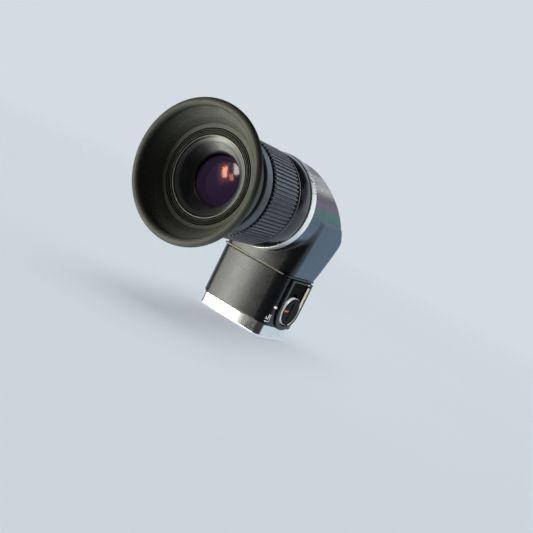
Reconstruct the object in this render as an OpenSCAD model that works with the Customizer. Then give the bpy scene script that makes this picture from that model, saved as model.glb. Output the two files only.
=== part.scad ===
// Right-angle viewing finder: a prism housing on a square column, with a focusing eyepiece,
// a rubber eyecup, a two-position magnification slide and a rotating mount socket.
// The column's axis is +Z, the eyepiece looks out along -Y and the slide is on the +X side.
// The origin is the centre of the mount socket's lower face.

/* [Column] */
// Width of the column, left to right
column_w = 27.2; // [27:0.1:28]
// Depth of the column, front to back
column_d = 21.6; // [21.4:0.1:22.4]
// Height of the bright base ring
base_h = 3.9; // [3.6:0.1:4.2]
// Height of the seam between the column and the prism housing
seam_z = 20.7; // [20.4:0.1:21]
// Radius of the column's rounded corners
corner_r = 4; // [3.5:0.1:4.4]

/* [Housing] */
// Height of the eyepiece axis above the mount face
axis_z = 39.3; // [39:0.1:40]
// Radius of the housing's round top
housing_r = 14.45; // [14.2:0.05:14.6]
// Distance of the slanted back plane behind the prism's reflecting plane, along Y
back_offset = 7.5; // [7.3:0.1:7.7]
// Distance of the collar's front face in front of the column's axis
collar_front = 14.9; // [14.6:0.1:15]

/* [Eyepiece] */
// Outer radius of the rubber eyecup
cup_r = 21; // [19:0.5:23]
// Distance of the middle of the eyecup's lip in front of the column's axis
cup_front = 59.3; // [58.5:0.1:60]
// Radius over the ribs of the dioptre ring
knurl_r = 15.2; // [15:0.05:15.3]
// Number of ribs on the dioptre ring
knurl_count = 76; // [60:2:90]
// Radius of the eye lens's clear opening
eye_r = 7.6; // [7:0.1:7.8]
// Travel of the eyepiece outwards, for long sight
focus_out = 1.8; // [1.6:0.1:1.9]
// Travel of the eyepiece inwards, for short sight
focus_in = 0.6; // [0.4:0.1:0.7]

/* [Magnification slide] */
// Height of the knob's centre in its lower position
knob_z = 10.2; // [10.1:0.1:10.4]
// Radius of the knob's bright rim
knob_r = 4.6; // [4.4:0.1:4.7]
// Travel of the knob from its lower position to its upper one
zoom_travel = 4.2; // [3.8:0.1:4.3]

/* [Mount] */
// Radius of the threaded hole that takes an eyepiece adapter
thread_r = 7; // [6.6:0.1:7.1]

/* [Hidden] */

$fn = 96;
tiny = 0.02;                 // overlap of cutting bodies past a face
fit = 0.05;                  // radial clearance of a running fit
half_w = column_w / 2;
half_d = column_d / 2;
base_inset = 0.95;           // step from the column's side in to the base ring's
bulge_front_r = 110;         // large radii that make the column's faces slightly convex
bulge_side_r = 130;
socket_r = 8.3;
flange_r = 8.9;
bore_r = 9;                  // round bore through the column
tube_r = 8;                  // inside of the guide tube
slot_w = 3.2;                // width of the knob stud's slots
pocket_r = 5.1;              // half width of the knob's pocket
plate_r = 6.7;               // half width of the slide plate
pocket_top = 19.6;
plate_face = 14.3;           // distance of the slide plate's face from the column's axis
pocket_floor = 13.4;          // distance of the pocket's floor from the column's axis
seam_h = 0.4;
reflect_sum = axis_z;        // the reflecting plane is y + z = reflect_sum
back_sum = axis_z + back_offset;
wall = 2;
cover_t = 1.2;
tube_out_r = 11.6;           // outside of the fixed eyepiece tube
cell_r = 10.2;               // outside of the moving eyepiece cell
ring_back = 26.1;            // back end of the dioptre ring's ribs
ring_front = 41.4;
keeper_e = 40;               // front of the snap ring that holds the dioptre ring on
bracket_z = 28.5;            // floor of the prism's chamber
bracket_t = 2.4;
clip_sum = reflect_sum + 0.15;
pin_e = 34;                  // distance of the focus drive pin in front of the axis
lead_deg = 90;               // turn of the dioptre ring for the full travel outwards

// ---------------------------------------------------------------- helpers

// Children drawn with their axis up, turned so that the axis is the eyepiece's, towards the eye.
module on_eyepiece() {
  translate([0, 0, axis_z]) rotate([90, 0, 0]) children();
}

// Ring on the Z axis between two heights.
module ring(outer, inner, z0, z1) {
  difference() {
    translate([0, 0, z0]) cylinder(r = outer, h = z1 - z0);
    translate([0, 0, z0 - tiny]) cylinder(r = inner, h = z1 - z0 + 2 * tiny);
  }
}

module rounded_rect(hx, hy, r) {
  square([2 * (hx - r), 2 * hy], center = true);
  square([2 * hx, 2 * (hy - r)], center = true);
  for (sx = [-1, 1], sy = [-1, 1]) translate([sx * (hx - r), sy * (hy - r)]) circle(r);
}

// Rounded square with slightly convex faces: the column's plan, moved in by inset.
module column_plan(inset = 0) {
  hx = half_w - inset;
  hy = half_d - inset;
  intersection() {
    rounded_rect(hx, hy, corner_r - inset);
    // four large discs whose rims are the convex faces
    translate([0, bulge_front_r - hy]) circle(bulge_front_r, $fn = 360);
    translate([0, hy - bulge_front_r]) circle(bulge_front_r, $fn = 360);
    translate([bulge_side_r - hx, 0]) circle(bulge_side_r, $fn = 360);
    translate([hx - bulge_side_r, 0]) circle(bulge_side_r, $fn = 360);
  }
}

// The column's plan between two heights, with a small chamfer at each end.
module column_block(z0, z1, inset = 0, edge = 0.25) {
  translate([0, 0, z0]) linear_extrude(z1 - z0) column_plan(inset + edge);
  translate([0, 0, z0 + edge]) linear_extrude(z1 - z0 - 2 * edge) column_plan(inset);
}

// Stadium that runs along Z, on the +X side of the column.
module side_slot(r, z0, z1, x0, x1) {
  translate([x0, 0, 0]) rotate([90, 0, 90]) linear_extrude(x1 - x0) {
    translate([0, z0]) circle(r);
    translate([0, z1]) circle(r);
    translate([-r, z0]) square([2 * r, z1 - z0]);
  }
}

// Lens on the Z axis: a straight edge from 0 to edge, with a cap of each given height.
module lens(r, edge, sag_front, sag_back = 0) {
  cylinder(r = r, h = edge);
  lens_cap(r, edge, sag_front);
  if (sag_back > 0) mirror([0, 0, 1]) lens_cap(r, 0, sag_back);
}

module lens_cap(r, z, sag) {
  ball_r = (r * r + sag * sag) / (2 * sag);
  intersection() {
    translate([0, 0, z + sag - ball_r]) sphere(ball_r, $fn = 400);
    translate([0, 0, z - tiny]) cylinder(r = r, h = sag + 2 * tiny);
  }
}

// Countersunk screw along -Z with its head's face at z = 0.
module small_screw(head_r, head_h, shank_r, length) {
  difference() {
    union() {
      translate([0, 0, -head_h]) cylinder(r1 = shank_r, r2 = head_r, h = head_h);
      translate([0, 0, -length]) cylinder(r = shank_r, h = length);
    }
    translate([-head_r, -0.15, -0.3]) cube([2 * head_r, 0.3, 0.4]);
  }
}

// ---------------------------------------------------------------- mount

module mount_socket() {
  color("gold") difference() {
    union() {
      cylinder(r = socket_r, h = 2.5);
      translate([0, 0, 2.4]) cylinder(r = flange_r, h = 1);
    }
    translate([0, 0, -tiny]) cylinder(r = thread_r, h = 4);
    // two slots for a fitting key
    for (a = [0, 180]) rotate([0, 0, a]) translate([thread_r - 0.3, -0.6, -tiny]) cube([0.9, 1.2, 0.8]);
  }
}

module socket_retainer() {
  color("silver") ring(bore_r, 7.4, 3.5, 3.9);
}

module base_screw_places() {
  for (sx = [-1, 1], sy = [-1, 1]) translate([sx * 9.6, sy * 6.6, 0]) children();
}

module base_ring() {
  color("gainsboro") difference() {
    column_block(0, base_h, base_inset, 0.3);
    translate([0, 0, -tiny]) cylinder(r = socket_r + fit, h = 3);
    translate([0, 0, 2.38]) cylinder(r = flange_r + fit, h = 1.12);
    translate([0, 0, 3.45]) cylinder(r = bore_r, h = 1);
    base_screw_places() {
      translate([0, 0, -tiny]) cylinder(r = 0.6, h = 5);
      translate([0, 0, -tiny]) cylinder(r1 = 1.2, r2 = 0.6, h = 0.6);
    }
  }
}

module base_screws() {
  color("silver") base_screw_places() rotate([180, 0, 0]) small_screw(1.15, 0.55, 0.58, 7);
}

// ---------------------------------------------------------------- column

module column_shell() {
  color([0.12, 0.12, 0.13]) difference() {
    column_block(base_h, seam_z - seam_h / 2);
    translate([0, 0, base_h - tiny]) cylinder(r = bore_r, h = 30);
    // flat seat of the slide plate
    side_slot(plate_r, knob_z, 30, 13, 15);
    side_slot(slot_w / 2 + 0.1, knob_z, knob_z + zoom_travel, 5, 15);
    base_screw_places() cylinder(r = 0.58, h = 8);
    plate_screw_places() translate([0, 0, -3]) cylinder(r = 0.5, h = 4);
    index_place() cylinder(r = 0.42, h = 2);
  }
}

module guide_tube() {
  color("dimgray") difference() {
    ring(bore_r, tube_r, 8.3, 20);
    side_slot(slot_w / 2, knob_z, knob_z + zoom_travel, 5, 15);
    // two rest notches for the detent ball
    for (z = [0, zoom_travel]) translate([-tube_r - 0.35, 0, knob_z + 2 + z]) sphere(0.6);
  }
}

module front_lens_cell() {
  color("dimgray") difference() {
    ring(bore_r, 6.2, 4, 8.2);
    translate([0, 0, 5]) cylinder(r = 7.4, h = 4);
  }
}

module front_lens() {
  color([0.75, 0.85, 0.9, 0.5]) translate([0, 0, 5]) lens(7.4, 1.6, 0.9);
}

// ---------------------------------------------------------------- moving lens group

module zoom_carrier() {
  color("dimgray") difference() {
    translate([0, 0, 8.6]) cylinder(r = tube_r - fit, h = 6);
    translate([0, 0, 8]) cylinder(r = 5.4, h = 8);
    translate([0, 0, 11.5]) cylinder(r = 6, h = 4);
    translate([5, 0, knob_z]) rotate([0, 90, 0]) cylinder(r = 0.8, h = 5);
    translate([-tube_r - 1, -1, knob_z - 1]) cube([2.5, 2, 3.6]);
  }
}

module zoom_lens() {
  color([0.75, 0.85, 0.9, 0.5]) translate([0, 0, 11.5]) lens(6, 1.3, 0.7);
}

module zoom_lens_ring() {
  color("gray") difference() {
    ring(6, 5, 12.9, 14.5);
    translate([0, 0, 12.85]) cylinder(r1 = 5.6, r2 = 5, h = 0.8);
  }
}

module detent_spring() {
  color("silver") translate([-tube_r + 1.17, -0.7, knob_z - 0.8]) cube([0.2, 1.4, 3.2]);
}

module detent_ball() {
  color("silver") translate([-tube_r + 0.6, 0, knob_z + 2]) sphere(0.55);
}

// Places of the plate's screws, in the floor of the pocket above the knob.
module plate_screw_places() {
  for (sy = [-1, 1]) translate([pocket_floor - 0.02, sy * 3.3, 17.7]) rotate([0, 90, 0]) children();
}

module slide_plate() {
  color([0.13, 0.13, 0.15]) difference() {
    intersection() {
      union() {
        side_slot(plate_r - 0.02, knob_z, 30, 13, plate_face - 0.3);
        side_slot(plate_r - 0.3, knob_z, 30, 13, plate_face);
      }
      translate([0, -20, 0]) cube([30, 40, seam_z - seam_h / 2 - 0.3]);
    }
    // the knob's pocket, and the stud's slot through its floor
    intersection() {
      side_slot(pocket_r, knob_z, 30, pocket_floor, 20);
      translate([0, -20, 0]) cube([30, 40, pocket_top]);
    }
    side_slot(slot_w / 2, knob_z, knob_z + zoom_travel, 5, 15);
    plate_screw_places() translate([0, 0, -1]) cylinder(r = 0.5, h = 2);
    plate_screw_places() translate([0, 0, -0.36]) cylinder(r1 = 0.5, r2 = 0.78, h = 0.38);
  }
}

module plate_screws() {
  color("dimgray") plate_screw_places() small_screw(0.75, 0.36, 0.48, 2.8);
}

module knob_stud() {
  // threaded into the lens carrier, through both slots
  color("silver") translate([7.2, 0, knob_z]) rotate([0, 90, 0]) {
    cylinder(r = 0.78, h = 6.7);
    translate([0, 0, 1]) cylinder(r = slot_w / 2 - fit, h = 5.1);
  }
}

module knob_cap() {
  color([0.05, 0.05, 0.06]) translate([13.55, 0, knob_z]) rotate([0, 90, 0]) difference() {
    union() {
      cylinder(r = knob_r - 0.4, h = 0.75);
      // finger ridge across the knob
      translate([-3.2, -0.7, 0.5]) cube([6.4, 1.4, 0.75]);
    }
    translate([0, 0, -tiny]) cylinder(r = 0.78, h = 0.4);
  }
}

module knob_rim() {
  color("gainsboro") translate([13.5, 0, knob_z]) rotate([0, 90, 0]) ring(knob_r, knob_r - 0.38, 0, 0.7);
}

module knob_pointer() {
  color("orangered") translate([14.3, -knob_r + 0.5, knob_z - 0.2]) cube([0.1, 2.2, 0.45]);
}

// Seat of the index dot, beside the knob's lower position.
module index_place() {
  translate([12.6, -plate_r - 0.65, knob_z]) rotate([0, 90, 0]) children();
}

module index_dot() {
  color("white") index_place() cylinder(r = 0.42, h = 0.85);
}

module seam_ring() {
  color("silver") difference() {
    translate([0, 0, seam_z - seam_h / 2]) linear_extrude(seam_h) column_plan(0.3);
    translate([0, 0, seam_z - 1]) cylinder(r = bore_r, h = 2);
  }
}

// ---------------------------------------------------------------- prism housing

// Everything in front of the plane y + z = sum.
module before_plane(sum) {
  translate([0, 0, sum]) rotate([-45, 0, 0]) translate([-30, -60, -60]) cube([60, 120, 60]);
}

// The lower, squarer part of the housing, seen from the front as a slightly tapered block.
module housing_base() {
  foot_w = half_w - 0.35;
  shoulder_w = housing_r - 0.25;
  shoulder_z = 36.7;
  kink_z = 33.4;
  intersection() {
    rotate([90, 0, 0]) translate([0, 0, -20]) linear_extrude(40) polygon([
      [-foot_w, seam_z], [foot_w, seam_z], [shoulder_w, shoulder_z], [-shoulder_w, shoulder_z]
    ]);
    rotate([90, 0, 90]) translate([0, 0, -20]) linear_extrude(40) polygon([
      [-half_d + 0.3, seam_z], [half_d - 0.5, seam_z], [back_sum - kink_z, kink_z],
      [back_sum - kink_z, 40], [-half_d + 0.3, 40]
    ]);
    linear_extrude(60) translate([0, 1.55]) rounded_rect(housing_r + 0.1, 12.1, corner_r);
  }
}

module prism_housing() {
  color([0.1, 0.1, 0.12]) difference() {
    intersection() {
      union() {
        housing_base();
        on_eyepiece() translate([0, 0, -10]) cylinder(r = housing_r, h = 10 + collar_front);
      }
      before_plane(back_sum);
      translate([-30, -30, seam_z + seam_h / 2]) cube([60, 60, 40]);
    }
    translate([0, 0, seam_z]) cylinder(r = bore_r, h = 9);
    // the prism's chamber
    intersection() {
      translate([-10.2, -9, 28.5]) cube([20.4, 19.5, 24]);
      union() {
        on_eyepiece() translate([0, 0, -20]) cylinder(r = housing_r - wall, h = 40);
        translate([-15, -15, 20]) cube([30, 30, axis_z - 20]);
      }
      before_plane(back_sum - 4);
    }
    on_eyepiece() translate([0, 0, 8]) cylinder(r = tube_out_r, h = 10);
    // seat of the back cover, and the opening under it
    on_back() translate([0, 0, -cover_t]) linear_extrude(5) rounded_rect(8.85, 9.25, 4);
    on_back() translate([0, 0, -6]) linear_extrude(7) rounded_rect(6.2, 6.8, 2.5);
    on_back() cover_screw_places() translate([0, 0, -3]) cylinder(r = 0.6, h = 4);
    bracket_screw_places() translate([0, 0, 24.6]) cylinder(r = 0.6, h = 4);
  }
}

// Children in the plane of the slanted back, with +Z pointing out of it.
module on_back() {
  drop = 3.2;
  translate([0, back_offset - drop, axis_z + drop]) rotate([-45, 0, 0]) children();
}

module cover_screw_places() {
  for (sx = [-1, 1], sy = [-1, 1]) translate([sx * 6.65, sy * 7.05, 0]) children();
}

module back_cover() {
  color([0.1, 0.1, 0.12]) on_back() difference() {
    translate([0, 0, -cover_t]) linear_extrude(cover_t) rounded_rect(8.8, 9.2, 4);
    cover_screw_places() {
      translate([0, 0, -3]) cylinder(r = 0.6, h = 4);
      translate([0, 0, -0.6]) cylinder(r1 = 0.6, r2 = 1.25, h = 0.62);
    }
  }
}

module cover_screws() {
  color("silver") on_back() cover_screw_places() small_screw(1.2, 0.58, 0.58, 3);
}

module prism() {
  // roof prism: its faces look down the column and out of the eyepiece
  reach = 8.4;
  color([0.8, 0.88, 0.92, 0.5]) intersection() {
    translate([-8, -reach, axis_z - reach]) cube([16, 4 * reach, 4 * reach]);
    translate([0, 0, reflect_sum]) rotate([-45, 0, 0]) rotate([90, 0, 0]) translate([0, 0, -20])
      linear_extrude(40) polygon([[0, 0], [-20, -20], [20, -20]]);
  }
}

module bracket_screw_places() {
  for (sx = [-1, 1]) translate([sx * 9.3, 6, 0]) children();
}

module prism_bracket() {
  color("dimgray") difference() {
    union() {
      translate([-10, -8.9, bracket_z]) cube([20, 17, bracket_t]);
      for (sx = [-1, 1]) intersection() {
        translate([sx * 9.1 - 0.8, -8.4, bracket_z]) cube([1.6, 13, 14]);
        before_plane(clip_sum);
      }
    }
    translate([0, 0, 28]) cylinder(r = 7, h = 5);
    bracket_screw_places() translate([0, 0, 28]) cylinder(r = 0.6, h = 5);
  }
}

module bracket_screws() {
  color("silver") bracket_screw_places() translate([0, 0, bracket_z + bracket_t]) {
    cylinder(r = 0.85, h = 0.5);
    translate([0, 0, -5.5]) cylinder(r = 0.58, h = 5.6);
  }
}

module prism_clip() {
  // spring strap across the bracket's cheeks, over the prism's ridge
  color("silver") translate([0, 0, clip_sum]) rotate([-45, 0, 0]) translate([0, 0.8, 0]) linear_extrude(0.3)
    rounded_rect(9.8, 2.2, 0.5);
}

// ---------------------------------------------------------------- fixed eyepiece parts

module eyepiece_tube() {
  color([0.08, 0.08, 0.09]) on_eyepiece() difference() {
    union() {
      ring(tube_out_r, cell_r + fit, 9.1, 40.6);
      ring(13.9, 11, collar_front + 0.05, collar_front + 0.35);
      ring(13.2, 11, collar_front + 0.3, 25);
    }
    // straight slot that keeps the drive pin from turning
    translate([0, 0, pin_e]) rotate([0, 90, 0]) linear_extrude(15) {
      translate([-focus_out, 0]) circle(0.95);
      translate([focus_in, 0]) circle(0.95);
      translate([-focus_out, -0.95]) square([focus_out + focus_in, 1.9]);
    }
  }
}

module index_band() {
  color("gainsboro") on_eyepiece() difference() {
    union() {
      ring(15.1, 13.2, 15.4, 18.35);
      ring(14.95, 13.2, 15.25, 18.5);
    }
  }
}

module step_ring() {
  color([0.06, 0.06, 0.07]) on_eyepiece() rotate_extrude() polygon([
    [13.2, 18.55], [14.55, 18.55], [14.95, 19.1], [14.95, 20.4], [14.85, 21.4], [14.6, 22.6],
    [14.3, 23.8], [14, 25], [13.2, 25]
  ]);
}

// ---------------------------------------------------------------- dioptre ring and moving eyepiece

// Outline of the ribbed ring, a trapezoid tooth repeated round the circle.
function rib_points(tip, root, count) = [
  for (i = [0:count - 1], k = [0:3]) let(a = (i + [0, 0.22, 0.5, 0.72][k]) * 360 / count, r = k < 2 ? tip : root)
    [r * cos(a), r * sin(a)]
];

module dioptre_ring() {
  steps = 30;
  color([0.15, 0.16, 0.18]) on_eyepiece() difference() {
    union() {
      translate([0, 0, ring_back]) linear_extrude(ring_front - ring_back)
        polygon(rib_points(knurl_r, knurl_r - 0.45, knurl_count));
      ring(14.9, 13, ring_back - 0.9, ring_back + 0.1);
    }
    translate([0, 0, 20]) cylinder(r = tube_out_r + fit, h = 30);
    translate([0, 0, keeper_e - 0.1]) cylinder(r = 12.7, h = 5);
    // helical groove on the inside, followed by the drive pin
    for (i = [0:steps]) let(s = i / steps, travel = focus_out + focus_in)
      rotate([0, 0, lead_deg / focus_out * (focus_in - s * travel)])
        translate([tube_out_r - 1, 0, pin_e - focus_in + s * travel]) rotate([0, 90, 0]) cylinder(r = 1.15, h = 2.2);
  }
}

// Snap ring on the end of the fixed tube, which keeps the dioptre ring from sliding off.
module keeper_ring() {
  color("silver") on_eyepiece() ring(12.6, tube_out_r, keeper_e, keeper_e + 0.5);
}

module drive_pin() {
  color("silver") on_eyepiece() translate([cell_r - 0.6, 0, pin_e]) rotate([0, 90, 0]) cylinder(r = 0.9, h = 2.7);
}

module eyepiece_cell() {
  color([0.06, 0.06, 0.07]) on_eyepiece() difference() {
    union() {
      translate([0, 0, 29]) cylinder(r = cell_r, h = 18);
      translate([0, 0, 42.4]) cylinder(r = 12, h = 4);
    }
    translate([0, 0, 28]) cylinder(r = 7.2, h = 30);
    translate([0, 0, 37]) cylinder(r = 8.6, h = 20);
    translate([9, 0, pin_e]) rotate([0, 90, 0]) cylinder(r = 0.9, h = 5);
  }
}

module field_lens() {
  color([0.75, 0.85, 0.9, 0.5]) on_eyepiece() translate([0, 0, 37.9]) lens(8.6, 1.8, 0.8, 0.8);
}

module lens_spacer() {
  color("dimgray") on_eyepiece() ring(8.6, 7.8, 39.9, 44.1);
}

module eye_lens() {
  color([0.45, 0.3, 0.6, 0.5]) on_eyepiece() translate([0, 0, 44.25]) lens(8.55, 2.4, 2, 0.8);
}

// Front ring that holds the lenses, with a stepped light trap round the opening.
module retaining_ring() {
  groove_count = 5;
  color([0.07, 0.07, 0.08]) on_eyepiece() difference() {
    union() {
      ring(12, 5, 47.05, 52.6);
      ring(12, cell_r + fit, 46.45, 47.1);
      ring(11.75, 5, 47.05, 52.87);
    }
    translate([0, 0, 46]) cylinder(r = eye_r, h = 8);
    translate([0, 0, 47]) cylinder(r = 8.57, h = 0.6);
    translate([0, 0, 48.1]) cylinder(r1 = eye_r, r2 = 11.6, h = 4.8);
    for (i = [0:groove_count - 1]) translate([0, 0, 48.5 + 0.32 * i]) cylinder(r = eye_r + 0.65 + 0.28 * i, h = 0.12);
  }
}

module cup_collar() {
  color([0.15, 0.16, 0.18]) on_eyepiece() difference() {
    union() {
      ring(15, 12, 42.5, 46.2);
      ring(14.8, 12, 42.3, 46.4);
    }
  }
}

// Soft eyecup: a flared cone with a round lip, on a root that grips the eyepiece's nose.
module eyecup() {
  lip = 1.25;
  lip_r = cup_r - lip;
  back_steps = 8;
  color([0.16, 0.16, 0.15]) on_eyepiece() rotate_extrude() {
    polygon(concat(
      [[12.02, 46.5], [14.2, 46.5], [14.2, 47]],
      [for (i = [0:back_steps]) let(s = i / back_steps)
        [14.7 + (lip_r + 0.85 - 14.7) * s, 47.2 + (cup_front - 1 - 47.2) * pow(s, 0.8)]],
      [[lip_r, cup_front], [lip_r - 0.9, cup_front - 0.6]],
      [[lip_r - 1.5, cup_front - 1.2], [15.2, 53.9], [15.2, 53.4], [14.9, 53.2]],
      [[13.7, 53], [13.7, 52.5], [13.3, 52.5], [13.3, 53], [12.9, 53], [12.9, 52.5], [12.5, 52.5],
       [12.5, 52.8], [12.02, 52.8]]
    ));
    translate([lip_r, cup_front]) circle(lip);
  }
}

mount_socket();
socket_retainer();
base_ring();
base_screws();
column_shell();
guide_tube();
front_lens_cell();
front_lens();
zoom_carrier();
zoom_lens();
zoom_lens_ring();
detent_spring();
detent_ball();
slide_plate();
plate_screws();
knob_stud();
knob_cap();
knob_rim();
knob_pointer();
index_dot();
seam_ring();
prism_housing();
prism();
prism_bracket();
prism_clip();
bracket_screws();
back_cover();
cover_screws();
eyepiece_tube();
index_band();
step_ring();
dioptre_ring();
keeper_ring();
drive_pin();
eyepiece_cell();
field_lens();
lens_spacer();
eye_lens();
retaining_ring();
cup_collar();
eyecup();
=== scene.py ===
"""Right-angle viewing finder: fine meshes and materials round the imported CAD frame.

Lengths are millimetres in the CAD frame, and meshes are scaled to metres as they are made. Lights, the
camera and the floor are in metres. The column stands along +Z, the eyepiece looks along -Y, and the
magnification slide is on the +X side. Profiles are lists of (radius, distance) points, where distance
runs from the column's axis towards the eye.
"""
import math

import bpy
import numpy as np
from mathutils import Matrix, Quaternion, Vector


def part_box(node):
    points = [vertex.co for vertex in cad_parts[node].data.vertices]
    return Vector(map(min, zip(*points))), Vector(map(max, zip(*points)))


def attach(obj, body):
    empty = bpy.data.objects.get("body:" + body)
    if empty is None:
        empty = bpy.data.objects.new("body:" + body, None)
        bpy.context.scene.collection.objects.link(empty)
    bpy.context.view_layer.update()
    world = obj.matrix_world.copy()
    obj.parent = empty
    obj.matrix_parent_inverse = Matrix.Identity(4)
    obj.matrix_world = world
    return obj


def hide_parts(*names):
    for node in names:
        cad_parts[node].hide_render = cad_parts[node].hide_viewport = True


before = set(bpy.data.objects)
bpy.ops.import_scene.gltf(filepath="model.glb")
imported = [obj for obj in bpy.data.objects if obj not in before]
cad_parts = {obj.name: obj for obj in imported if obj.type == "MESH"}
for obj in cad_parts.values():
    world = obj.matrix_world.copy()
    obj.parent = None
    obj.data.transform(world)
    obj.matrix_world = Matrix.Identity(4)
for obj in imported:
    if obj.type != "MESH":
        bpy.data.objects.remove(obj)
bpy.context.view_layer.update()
scene = bpy.context.scene


def box_mm(node):
    """Lowest and highest corner of a CAD node, in millimetres."""
    lo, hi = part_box(node)
    return np.array(lo) * 1000, np.array(hi) * 1000


# ------------------------------------------------------------------ sizes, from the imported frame

column_lo, column_hi = box_mm("column_shell")
housing_lo, housing_hi = box_mm("prism_housing")
base_lo, base_hi = box_mm("base_ring")
plate_lo, plate_hi = box_mm("slide_plate")
cup_lo, cup_hi = box_mm("eyecup")
band_lo, band_hi = box_mm("index_band")
rim_lo, rim_hi = box_mm("knob_rim")

AXIS_Z = (band_lo[2] + band_hi[2]) / 2      # height of the eyepiece axis
HALF_W = column_hi[0]                       # half width and half depth of the column
HALF_D = column_hi[1]
HOUSING_R = housing_hi[2] - AXIS_Z          # radius of the housing round the eyepiece axis
COLLAR_FRONT = -housing_lo[1]               # distance of the housing's front face
BACK_SUM = AXIS_Z + 7.5                     # the slanted back is the plane y + z = BACK_SUM
BORE_R = 9.0                                # bore along the column
FACE_R, SIDE_R = 74.0, 130.0                # curve of the column's front and of its sides

KNOB_Z = (rim_lo[2] + rim_hi[2]) / 2        # knob's middle, at the low end of its travel
TRAVEL = 4.2                                # the knob's travel up the slot
ABOVE = 30.0                                # any height above the slots that are open at the top
PLATE_R, SEAT_R = 6.68, 6.72                # round end of the slide plate, and of its seat in the column
POCKET_R, POCKET_TOP = 5.1, 19.6            # the plate's pocket
POCKET_FLOOR = 13.4                         # x of the pocket's floor


# ------------------------------------------------------------------ mesh helpers

def add_mesh(name, points, faces, sharp=40.0):
    """Smooth-shaded object from points in millimetres."""
    mesh = bpy.data.meshes.new(name)
    mesh.from_pydata((np.asarray(points, float) * 0.001).tolist(), [], faces)
    mesh.validate()
    mesh.shade_smooth()
    mesh.set_sharp_from_angle(angle=math.radians(sharp))
    obj = bpy.data.objects.new(name, mesh)
    scene.collection.objects.link(obj)
    return obj


def piece(obj, body, slot, mat, *replaced):
    """Finishes a piece: material, body and the CAD nodes that it stands for. The slot argument is not used.
    """
    if mat is not None:
        obj.data.materials.clear()
        obj.data.materials.append(mat)
    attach(obj, body)
    if replaced:
        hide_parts(*replaced)
    return obj


def revolve(name, profile, segments=288, radius=None, axis="eyepiece", sharp=40.0):
    """Closed profile of (radius, distance) points turned round the eyepiece's or the knob's axis.
    radius(r, e, angle) may change a point's radius, for ribs."""
    profile = np.asarray(profile, float)
    angles = np.arange(segments) * 2 * math.pi / segments
    r = np.repeat(profile[:, 0][None, :], segments, 0)
    e = np.repeat(profile[:, 1][None, :], segments, 0)
    t = np.repeat(angles[:, None], len(profile), 1)
    if radius is not None:
        r = radius(r, e, t)
    if axis == "eyepiece":
        points = np.stack([r * np.cos(t), -e, AXIS_Z + r * np.sin(t)], -1)
    else:
        points = np.stack([e, r * np.cos(t), KNOB_Z + r * np.sin(t)], -1)
    count = len(profile)
    faces = []
    for i in range(segments):
        a, b = i * count, ((i + 1) % segments) * count
        for j in range(count):
            k = (j + 1) % count
            faces.append((a + j, a + k, b + k, b + j))
    points = points.reshape(-1, 3)
    if signed_volume(points, faces) < 0:
        faces = [f[::-1] for f in faces]
    return add_mesh(name, points, faces, sharp)


def signed_volume(points, faces):
    """Six times the volume inside four-sided faces, negative where they face inwards."""
    f = np.array(faces)
    a, b, c, d = (points[f[:, i]] for i in range(4))
    first = np.einsum("ij,ij->i", a, np.cross(b, c))
    second = np.einsum("ij,ij->i", a, np.cross(c, d))
    return float(np.sum(first + second))


def arc(centre, r, start, end, steps):
    """Points (radius, distance) on a circle in the profile plane, angles in degrees."""
    return [
        (centre[0] + r * math.cos(math.radians(a)), centre[1] + r * math.sin(math.radians(a)))
        for a in np.linspace(start, end, steps)
    ]


def rounded(profile, size=0.12, steps=3):
    """Small rounded corners on a closed profile; size is how far a corner is cut back."""
    pts = [np.array(p, float) for p in profile]
    out = []
    for i, p in enumerate(pts):
        before, after = pts[i - 1], pts[(i + 1) % len(pts)]
        d0, d1 = before - p, after - p
        l0, l1 = np.linalg.norm(d0), np.linalg.norm(d1)
        s = min(size, l0 * 0.45, l1 * 0.45)
        p0, p1 = p + d0 / l0 * s, p + d1 / l1 * s
        for k in range(steps + 1):
            u = k / steps
            q = p0 * (1 - u) ** 2 + p * 2 * u * (1 - u) + p1 * u ** 2
            out.append((q[0], q[1]))
    return out


# ------------------------------------------------------------------ distance functions and their mesh

def smooth_min(a, b, k):
    """Union with a fillet about k wide."""
    h = np.clip(0.5 + 0.5 * (b - a) / k, 0, 1)
    return b * (1 - h) + a * h - k * h * (1 - h)


def smooth_max(a, b, k):
    """Intersection with a soft edge about k wide."""
    return -smooth_min(-a, -b, k)


def round_max(a, b, r):
    """Intersection with a true round edge of radius r."""
    outside = np.hypot(np.maximum(a + r, 0), np.maximum(b + r, 0))
    return np.minimum(np.maximum(a + r, b + r), 0) + outside - r


def rounded_rect(u, v, hu, hv, r):
    """Rectangle of half sizes hu and hv with corners of radius r."""
    qu, qv = np.abs(u) - hu + r, np.abs(v) - hv + r
    return np.hypot(np.maximum(qu, 0), np.maximum(qv, 0)) + np.minimum(np.maximum(qu, qv), 0) - r


def stadium(y, z, r, z0, z1):
    """Round-ended slot that runs along Z."""
    return np.hypot(y, z - np.clip(z, z0, z1)) - r


def column_plan(x, y, inset=0.0, corner=4.0):
    """Rounded square with slightly convex faces."""
    hx, hy = HALF_W - inset, HALF_D - inset
    depth = np.hypot(x, np.abs(y) + FACE_R - hy) - FACE_R
    width = np.hypot(np.abs(x) + SIDE_R - hx, y) - SIDE_R
    return round_max(depth, width, corner - inset)


def slope(sdf, p, h=0.004):
    """Gradient of a distance function at an array of points."""
    g = np.empty_like(p)
    for i in range(3):
        d = np.zeros(3)
        d[i] = h
        g[:, i] = (sdf(*(p + d).T) - sdf(*(p - d).T)) / (2 * h)
    return g


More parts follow.
